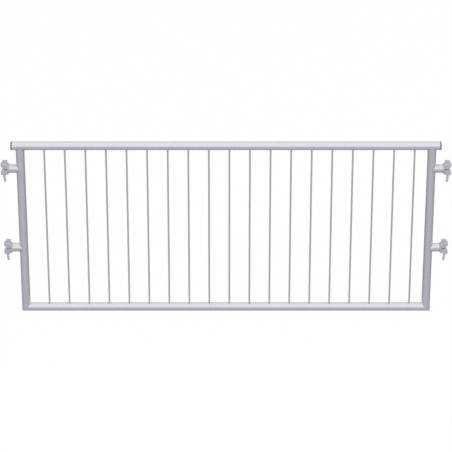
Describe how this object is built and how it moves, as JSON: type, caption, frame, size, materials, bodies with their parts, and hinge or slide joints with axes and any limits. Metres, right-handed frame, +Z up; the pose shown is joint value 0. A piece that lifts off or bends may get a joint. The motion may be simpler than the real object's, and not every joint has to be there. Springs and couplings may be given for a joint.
{
  "type": "crowd control barrier panel",
  "caption": "Welded tube barrier panel with upright round bars, a mitred lower frame, an overhanging top rail and wedge heads that lock it to scaffold standards.",
  "frame": {"origin": "under the middle of the bottom rail, in the plane of the tube axes", "axes": "+X along the panel to the right seen from the front, +Y to the back, +Z up"},
  "size_m": [2.5254, 0.0576, 1.076],
  "materials": {
    "galvanised_tube": "hot-dip galvanised, pale grey with faint mottle",
    "galvanised_bar": "hot-dip galvanised round bar",
    "galvanised_casting": "galvanised casting, slightly rough",
    "wedge_steel": "zinc-plated flat steel, hammer marks on top",
    "rivet_steel": "plain steel rivet",
    "weld_metal": "galvanised weld bead",
    "cap_plastic": "grey moulded plastic"
  },
  "bodies": {
    "panel": {"top_rail": "galvanised_tube", "bottom_rail": "galvanised_tube", "left_post": "galvanised_tube", "right_post": "galvanised_tube", "bar_01": "galvanised_bar", "bar_02": "galvanised_bar", "bar_03": "galvanised_bar", "bar_04": "galvanised_bar", "bar_05": "galvanised_bar", "bar_06": "galvanised_bar", "bar_07": "galvanised_bar", "bar_08": "galvanised_bar", "bar_09": "galvanised_bar", "bar_10": "galvanised_bar", "bar_11": "galvanised_bar", "bar_12": "galvanised_bar", "bar_13": "galvanised_bar", "bar_14": "galvanised_bar", "bar_15": "galvanised_bar", "bar_16": "galvanised_bar", "bar_17": "galvanised_bar", "bar_18": "galvanised_bar", "bar_19": "galvanised_bar", "left_upper_stub": "galvanised_tube", "left_lower_stub": "galvanised_tube", "right_upper_stub": "galvanised_tube", "right_lower_stub": "galvanised_tube", "left_upper_head": "galvanised_casting", "left_lower_head": "galvanised_casting", "right_upper_head": "galvanised_casting", "right_lower_head": "galvanised_casting", "left_end_cap": "cap_plastic", "right_end_cap": "cap_plastic", "rail_welds": "weld_metal", "corner_welds": "weld_metal", "left_stub_welds": "weld_metal", "right_stub_welds": "weld_metal", "head_welds": "weld_metal", "upper_bar_welds": "weld_metal", "lower_bar_welds": "weld_metal"},
    "left_upper_wedge_body": {"left_upper_wedge": "wedge_steel", "left_upper_rivet": "rivet_steel"},
    "left_lower_wedge_body": {"left_lower_wedge": "wedge_steel", "left_lower_rivet": "rivet_steel"},
    "right_upper_wedge_body": {"right_upper_wedge": "wedge_steel", "right_upper_rivet": "rivet_steel"},
    "right_lower_wedge_body": {"right_lower_wedge": "wedge_steel", "right_lower_rivet": "rivet_steel"}
  },
  "joints": [
    {"name": "left_upper_wedge_slide", "type": "slide", "parent": "panel", "child": "left_upper_wedge_body", "axis": [0, 0, 1], "range_m": [0, 0.088]},
    {"name": "left_lower_wedge_slide", "type": "slide", "parent": "panel", "child": "left_lower_wedge_body", "axis": [0, 0, 1], "range_m": [0, 0.088]},
    {"name": "right_upper_wedge_slide", "type": "slide", "parent": "panel", "child": "right_upper_wedge_body", "axis": [0, 0, 1], "range_m": [0, 0.088]},
    {"name": "right_lower_wedge_slide", "type": "slide", "parent": "panel", "child": "right_lower_wedge_body", "axis": [0, 0, 1], "range_m": [0, 0.088]}
  ]
}
